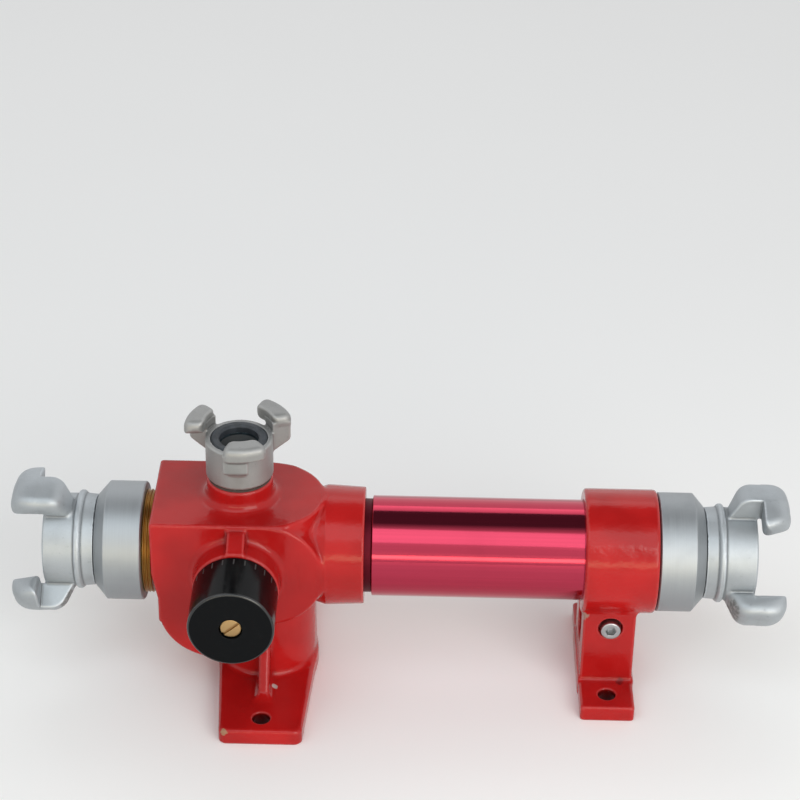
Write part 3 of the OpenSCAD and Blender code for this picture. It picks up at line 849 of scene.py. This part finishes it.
class EDUCTOR_OT_castings(bpy.types.Operator):
    """Makes the painted body and the clamp bracket"""

    bl_idname = "eductor.castings"
    bl_label = "Castings"

    def execute(self, context):
        sizes = context.scene.eductor_sizes
        finishes(context.scene.eductor_colours)
        edge, fillet, step = sizes.casting_edge / MM, sizes.casting_fillet / MM, sizes.casting_step / MM
        margin = 2.0 * step
        field = body_field(edge, fillet)
        # The raw mark of each casting is painted shade in its foot holes.
        body = cast_piece("cast_body", field, BODY_LOW - margin, BODY_HIGH + margin, step,
                          raw=bolt_hole_shade(0.0, BODY_HOLE_Y))
        fit(body, "body", "frame", "red enamel")
        low, high = corners("bracket")
        field = bracket_field(edge, fillet * 0.8)
        bracket = cast_piece("clamp_bracket", field, low - margin, high + margin, min(step, 1.0),
                             raw=bolt_hole_shade(BRACKET_X, BRACKET_HOLE_Y))
        fit(bracket, "bracket", "frame", "red enamel bracket")
        return {"FINISHED"}


# Turns that lay a piece's own Z along the inlet, the outlet and the front of the knob
TO_INLET = np.array([[0.0, 0.0, -1.0], [0.0, 1.0, 0.0], [1.0, 0.0, 0.0]])
TO_OUTLET = np.array([[0.0, 0.0, 1.0], [0.0, 1.0, 0.0], [-1.0, 0.0, 0.0]])
TO_KNOB = np.array([[1.0, 0.0, 0.0], [0.0, 0.0, -1.0], [0.0, 1.0, 0.0]])


def spin(degrees):
    """Turn about Z."""
    a = math.radians(degrees)
    return np.array([[math.cos(a), -math.sin(a), 0.0], [math.sin(a), math.cos(a), 0.0], [0.0, 0.0, 1.0]])


class EDUCTOR_OT_claw_heads(bpy.types.Operator):
    """Makes the inlet and outlet claw heads and the suction head"""

    bl_idname = "eductor.claw_heads"
    bl_label = "Claw heads"

    def execute(self, context):
        finishes(context.scene.eductor_colours)
        step = context.scene.eductor_sizes.head_step / MM
        face_in = corners("inlet_head")[0][0] + CLAW_REACH
        face_out = corners("outlet_head")[1][0] - CLAW_REACH
        side = CLAW_R + 1.5
        low, high = (-side, -side, -HEAD_TAIL - 1.5), (side, side, CLAW_REACH + 1.5)
        for name, turn, start, x, raw in (("inlet", TO_INLET, -24.5, face_in, CLAW_SPACING),
                                          ("outlet", TO_OUTLET, 293.0, face_out, 0.0)):
            place = (turn @ spin(start), np.array([x, 0.0, AXIS_Z]))
            head = cast_piece(name + "_claw_head", claw_head_field, low, high, step, place, claw_back(raw))
            fit(head, name + "_head", name + "_swivel", "satin aluminium")
        low, high = corners("port_head")
        face = high[2] - SUCTION_REACH
        place = (spin(16.0), np.array([VALVE_X, 0.0, face]))
        port = cast_piece("suction_claw_head", suction_head_field, (-33.5, -33.5, low[2] - face - 1.5),
                          (33.5, 33.5, 12.4), min(step, 0.7), place, bore_shade_and_raw_backs)
        fit(port, "port_head", "frame", "cast aluminium")
        return {"FINISHED"}


def swivel_collar(name, sense, thread):
    """Swivel collar: turned ring with a cone towards the head and a groove for the wire in its bore."""
    low, high = corners(name + "_collar")
    length = high[0] - low[0]
    base = high[0] if sense < 0 else low[0]
    bore, groove = STEM_R + 0.06, STEM_R + 1.5
    collar = lathe(name + "_swivel_collar", [
        (THREAD_R, 0.0, 0.4), (34.8, 0.0, 0.3), (35.5, 0.7, 0.3), (35.5, length - 6.4, 0.8),
        (28.0, length, 0.7), (bore, length, 0.3), (bore, length - 4.4, 0.1), (groove, length - 4.4, 0.1),
        (groove, length - 7.4, 0.1), (bore, length - 7.4, 0.1), (bore, thread, 0.1),
        (THREAD_R, thread, 0.1)], (base, 0.0, AXIS_Z), (sense, 0.0, 0.0))
    fit(collar, name + "_collar", "frame", "bright turned aluminium")


def face_gasket(name, sense):
    """Face gasket of a claw head, pressed in just below the head's face."""
    low, high = corners(name + "_gasket")
    seat = high[0] - GASKET_RISE if sense > 0 else low[0] + GASKET_RISE
    gasket = lathe(name + "_face_gasket", [
        (WAY_R, 0.0, 0.2), (GASKET_R, 0.0, 0.2), (GASKET_R, 4.0, 0.3), (24.0, 4.8, 0.4), (20.5, 4.8, 0.4),
        (WAY_R, 4.0, 0.3)], (seat, 0.0, AXIS_Z), (sense, 0.0, 0.0))
    fit(gasket, name + "_gasket", name + "_swivel", "black rubber")


def jet_nozzle():
    """Brass nozzle: thread, ridged flange, seal groove and a bore that narrows to the jet."""
    crest, valley = (31.0, 0.3), (30.0, 0.2)
    ridges = [(r, -71.0 + i, soft) for i, (r, soft) in enumerate([crest, valley, crest, valley, crest])]
    nozzle = lathe("jet_nozzle", [
        (WAY_R, -86.8, 0.4), (THREAD_R, -86.8, 0.5), (THREAD_R, -72.0, 0.2), (30.2, -72.0, 0.2), *ridges,
        (30.2, -66.0, 0.2), (NOZZLE_R, -66.0, 0.2), (NOZZLE_R, -63.0, 0.1), (21.4, -63.0, 0.1),
        (21.4, -59.8, 0.1), (NOZZLE_R, -59.8, 0.1), (NOZZLE_R, -41.0, 0.3), (15.0, -41.0, 0.5),
        (10.5, -8.0, 0.5), (7.0, -8.0, 0.2), (7.0, -12.0, 0.3)], (0.0, 0.0, AXIS_Z), (1.0, 0.0, 0.0))
    fit(nozzle, "nozzle", "frame", "machined brass")


def diffuser_tube():
    """Diffuser tube: spigot with two seal grooves, neck, bare tube, threaded end, and a throat inside."""
    end = TUBE_HIGH[0]
    grooves = [(r, at + along, 0.1) for at in (32.0, 42.0)
               for r, along in ((SPIGOT_R, 0.0), (23.6, 0.0), (23.6, 3.2), (SPIGOT_R, 3.2))]
    tube = lathe("diffuser_tube", [
        (13.0, SPIGOT_X, 0.3), (SPIGOT_R, SPIGOT_X, 0.3), *grooves, (SPIGOT_R, 59.0, 0.1),
        (28.0, 59.0, 0.1), (28.0, 63.0, 0.3), (TUBE_R, 63.6, 0.5), (TUBE_R, end - 13.0, 0.3),
        (THREAD_R, end - 13.0, 0.1), (THREAD_R, end, 0.4), (WAY_R, end, 0.4), (9.0, 66.0, 0.5),
        (9.0, 46.0, 0.5)], (0.0, 0.0, AXIS_Z), (1.0, 0.0, 0.0), 224)
    fit(tube, "tube", "frame", "raspberry anodising")


def suction_gasket():
    """Face gasket of the suction head, a little proud of the face."""
    base = corners("port_gasket")[0][2]
    gasket = lathe("suction_face_gasket", [
        (11.5, 0.0, 0.2), (16.8, 0.0, 0.2), (16.8, 3.4, 0.3), (15.8, 4.6, 0.5), (13.0, 4.6, 0.5),
        (11.5, 3.4, 0.4)], (VALVE_X, 0.0, base), (0.0, 0.0, 1.0))
    fit(gasket, "port_gasket", "frame", "grey gasket")


class EDUCTOR_OT_turned(bpy.types.Operator):
    """Makes the collars, the brass nozzle, the diffuser tube and the gaskets"""

    bl_idname = "eductor.turned"
    bl_label = "Turned pieces"

    def execute(self, context):
        finishes(context.scene.eductor_colours)
        for name, sense, thread in (("inlet", -1.0, 14.8), ("outlet", 1.0, 13.0)):
            swivel_collar(name, sense, thread)
            face_gasket(name, sense)
        jet_nozzle()
        diffuser_tube()
        suction_gasket()
        return {"FINISHED"}


class EDUCTOR_OT_knob(bpy.types.Operator):
    """Makes the metering knob, its screw, and the gland behind it"""

    bl_idname = "eductor.knob"
    bl_label = "Metering knob"

    def execute(self, context):
        finishes(context.scene.eductor_colours)
        length = KNOB_HIGH[1] - KNOB_LOW[1]
        radius = (KNOB_HIGH[0] - KNOB_LOW[0]) / 2
        back = (VALVE_X, KNOB_HIGH[1], AXIS_Z)
        knob = lathe("metering_knob", [
            (6.0, 0.0, 0.2), (radius, 0.0, 1.0), (radius, length, 1.3), (6.7, length, 0.35),
            (6.7, length - KNOB_SEAT, 0.1), (5.0, length - KNOB_SEAT, 0.1), (5.0, 10.0, 0.1),
            (6.0, 10.0, 0.1)], back, (0.0, -1.0, 0.0), 192)
        fit(knob, "knob", "metering", "polished black plastic")
        seat = np.array([VALVE_X, KNOB_LOW[1] + KNOB_SEAT, AXIS_Z])
        screw = cast_piece("knob_slotted_screw", knob_screw_field,
                           (-6.9, -6.9, -11.6), (6.9, 6.9, 5.9), 0.28, (TO_KNOB, seat))
        fit(screw, "knob_screw", "metering", "screw brass")
        gland = lathe("valve_gland", [
            (6.06, 33.0, 0.2), (14.0, 33.0, 0.3), (14.0, 41.5, 0.1), (16.5, 41.5, 0.2), (16.5, 45.5, 0.4),
            (13.0, 46.5, 0.4), (13.0, 49.0, 0.4), (6.06, 49.0, 0.3), (6.06, 44.8, 0.1), (7.9, 44.8, 0.1),
            (7.9, 42.5, 0.1), (6.06, 42.5, 0.1)], (VALVE_X, 0.0, AXIS_Z), (0.0, -1.0, 0.0), 128)
        fit(gland, "gland", "frame", "screw brass")
        return {"FINISHED"}


class EDUCTOR_OT_clamp_screw(bpy.types.Operator):
    """Makes the socket screw of the clamp bracket"""

    bl_idname = "eductor.clamp_screw"
    bl_label = "Clamp screw"

    def execute(self, context):
        finishes(context.scene.eductor_colours)
        low, high = corners("clamp_screw")
        seat = np.array([(low[0] + high[0]) / 2, low[1] + CLAMP_HEAD, (low[2] + high[2]) / 2])
        screw = cast_piece("clamp_socket_screw", clamp_screw_field,
                           (-7.3, -7.3, -38.8), (7.3, 7.3, 8.8), 0.36, (TO_KNOB, seat))
        fit(screw, "clamp_screw", "frame", "zinc plated steel")
        return {"FINISHED"}


# CAD nodes that stay as they are, by finish
INNER = {
    "black rubber": ["nozzle_seal", "inlet_seal", "outlet_seal", "plug_seal", "gland_seal", "tube_seals"],
    "zinc plated steel": ["inlet_wire", "outlet_wire", "check_ball"],
    "machined brass": ["check_cage"],
    "screw brass": ["plug"],
    "pressed fibre": ["port_washer"],
}


class EDUCTOR_OT_inner(bpy.types.Operator):
    """Finishes the CAD pieces that stay: seals, wires, washer, plug and check valve"""

    bl_idname = "eductor.inner"
    bl_label = "Inner pieces"

    def execute(self, context):
        finishes(context.scene.eductor_colours)
        for finish, nodes in INNER.items():
            for node in nodes:
                dress(NODES[node], finish)
        return {"FINISHED"}


# Camera, in the frame's axes: pose and focal length that lay the solids over the photograph
CAMERA_AT = (0.08891, -1.14371, 0.90541)
CAMERA_ROWS = ((0.99973, 0.01813, 0.01438), (0.02180, -0.52954, -0.84800), (-0.00775, 0.84809, -0.52980))
CAMERA_LENS = 105.32


def area_lamp(name, at, aim, size, power, colour=(1.0, 1.0, 1.0)):
    """Rectangular soft lamp that looks at a point."""
    data = bpy.data.lights.new(name, "AREA")
    data.shape = "RECTANGLE"
    data.size, data.size_y = size
    data.energy = power
    data.color = colour
    lamp = bpy.data.objects.new(name, data)
    back = np.array(at, float) - np.array(aim, float)
    back /= np.linalg.norm(back)
    right = np.cross((0.0, 0.0, 1.0) if abs(back[2]) < 0.99 else (0.0, 1.0, 0.0), back)
    right /= np.linalg.norm(right)
    up = np.cross(back, right)
    pose = np.eye(4)
    pose[:3, 0], pose[:3, 1], pose[:3, 2], pose[:3, 3] = right, up, back, at
    lamp.matrix_world = Matrix(pose.tolist())
    bpy.context.scene.collection.objects.link(lamp)


def pale_floor(scene):
    """Wide plain floor under the feet."""
    half = 6.0
    mesh = bpy.data.meshes.new("floor")
    mesh.from_pydata([(-half, -half, 0.0), (half, -half, 0.0), (half, half, 0.0), (-half, half, 0.0)],
                     [], [(0, 1, 2, 3)])
    floor = bpy.data.objects.new("floor", mesh)
    scene.collection.objects.link(floor)
    m = Finish("pale floor")
    cloud = m.noise(3.0, 2.0)
    m.shade(Base_Color=m.mix(cloud, (0.95, 0.95, 0.95), (0.97, 0.97, 0.97)), Roughness=0.9,
            Specular_IOR_Level=0.0)
    dress(floor, "pale floor")


# Surround that is seen and mirrored: direction of its dark top, and its tones by height towards it
DOME_TOP = (0.0, 0.259, 0.966)
DOME_TONES = [(0.83, (1.0, 1.0, 1.0, 1.0)), (0.95, (0.10, 0.10, 0.11, 1.0))]


def white_surround(scene):
    """Surround that lights evenly, and that shows a white dome with a dark top where it is mirrored."""
    world = bpy.data.worlds.new("white surround")
    scene.world = world
    world.use_nodes = True
    tree = world.node_tree
    tree.nodes.clear()
    ray = add_node(tree, "ShaderNodeLightPath").outputs
    seen = add_node(tree, "ShaderNodeMath", {
        0: ray["Is Camera Ray"], 1: ray["Is Glossy Ray"]}, operation="MAXIMUM").outputs[0]
    through = add_node(tree, "ShaderNodeMath", {
        0: seen, 1: ray["Is Transmission Ray"]}, operation="MAXIMUM").outputs[0]
    look = add_node(tree, "ShaderNodeTexCoord").outputs["Generated"]
    height = add_node(tree, "ShaderNodeVectorMath", {0: look, 1: DOME_TOP}, operation="DOT_PRODUCT")
    dome = add_node(tree, "ShaderNodeValToRGB", {0: height.outputs["Value"]})
    for i, (position, tone) in enumerate(DOME_TONES):
        dome.color_ramp.elements[i].position = position
        dome.color_ramp.elements[i].color = tone
    soft = add_node(tree, "ShaderNodeBackground", {"Color": (1.0, 1.0, 1.0, 1.0), "Strength": 0.54})
    shown = add_node(tree, "ShaderNodeBackground", {"Color": dome.outputs[0], "Strength": 1.0})
    both = add_node(tree, "ShaderNodeMixShader", {0: through, 1: soft.outputs[0], 2: shown.outputs[0]})
    add_node(tree, "ShaderNodeOutputWorld", {0: both.outputs[0]})


def studio_lamps():
    """Soft boxes in front and behind, a key lamp at the right and a low warm strip."""
    aim = (0.08, 0.0, 0.08)
    area_lamp("front soft box", (-0.3, -1.12, 2.02), aim, (2.5, 1.25), 11.5, (0.80, 0.93, 1.0))
    area_lamp("right key lamp", (1.0, -1.4, 0.9), aim, (1.15, 1.15), 14.0, (1.0, 0.975, 0.94))
    area_lamp("low warm strip", (0.1, -2.0, 0.41), aim, (3.0, 0.28), 9.0, (1.0, 0.84, 0.50))
    area_lamp("back soft box", (-0.2, 1.5, 1.9), aim, (1.8, 0.7), 4.0)


def photo_camera(scene):
    """Camera at the photograph's angle."""
    data = bpy.data.cameras.new("camera")
    data.sensor_width = 36.0
    data.lens = CAMERA_LENS
    data.clip_start, data.clip_end = 0.05, 50.0
    camera = bpy.data.objects.new("camera", data)
    right, down, ahead = np.array(CAMERA_ROWS)
    pose = np.eye(4)
    pose[:3, 0], pose[:3, 1], pose[:3, 2], pose[:3, 3] = right, -down, -ahead, CAMERA_AT
    camera.matrix_world = Matrix(pose.tolist())
    scene.collection.objects.link(camera)
    scene.camera = camera


class EDUCTOR_OT_stage(bpy.types.Operator):
    """Sets up the floor, the lamps, the white surround and the camera"""

    bl_idname = "eductor.stage"
    bl_label = "Stage"

    def execute(self, context):
        scene = context.scene
        scene.view_settings.view_transform = "Standard"
        pale_floor(scene)
        white_surround(scene)
        studio_lamps()
        photo_camera(scene)
        return {"FINISHED"}


# Order in which the operators build the eductor
STEPS = ["castings", "claw_heads", "turned", "knob", "clamp_screw", "inner", "stage"]


class EDUCTOR_PT_panel(bpy.types.Panel):
    """Lists the settings and the steps that build the eductor"""

    bl_idname = "EDUCTOR_PT_panel"
    bl_label = "Jet eductor"
    bl_space_type = "VIEW_3D"
    bl_region_type = "UI"
    bl_category = "Eductor"

    def draw(self, context):
        for group in (context.scene.eductor_sizes, context.scene.eductor_colours):
            for key in group.__annotations__:
                self.layout.prop(group, key)
        for step in STEPS:
            self.layout.operator("eductor." + step)


CLASSES = [EductorSizes, EductorColours, EDUCTOR_OT_castings, EDUCTOR_OT_claw_heads, EDUCTOR_OT_turned,
           EDUCTOR_OT_knob, EDUCTOR_OT_clamp_screw, EDUCTOR_OT_inner, EDUCTOR_OT_stage, EDUCTOR_PT_panel]


def register():
    """Adds the classes and the two groups of settings."""
    for cls in CLASSES:
        bpy.utils.register_class(cls)
    bpy.types.Scene.eductor_sizes = PointerProperty(type=EductorSizes)
    bpy.types.Scene.eductor_colours = PointerProperty(type=EductorColours)


def unregister():
    """Takes the settings and the classes away again."""
    del bpy.types.Scene.eductor_colours
    del bpy.types.Scene.eductor_sizes
    for cls in reversed(CLASSES):
        bpy.utils.unregister_class(cls)


def main():
    register()
    for step in STEPS:
        getattr(bpy.ops.eductor, step)()


if __name__ == "__main__":
    main()
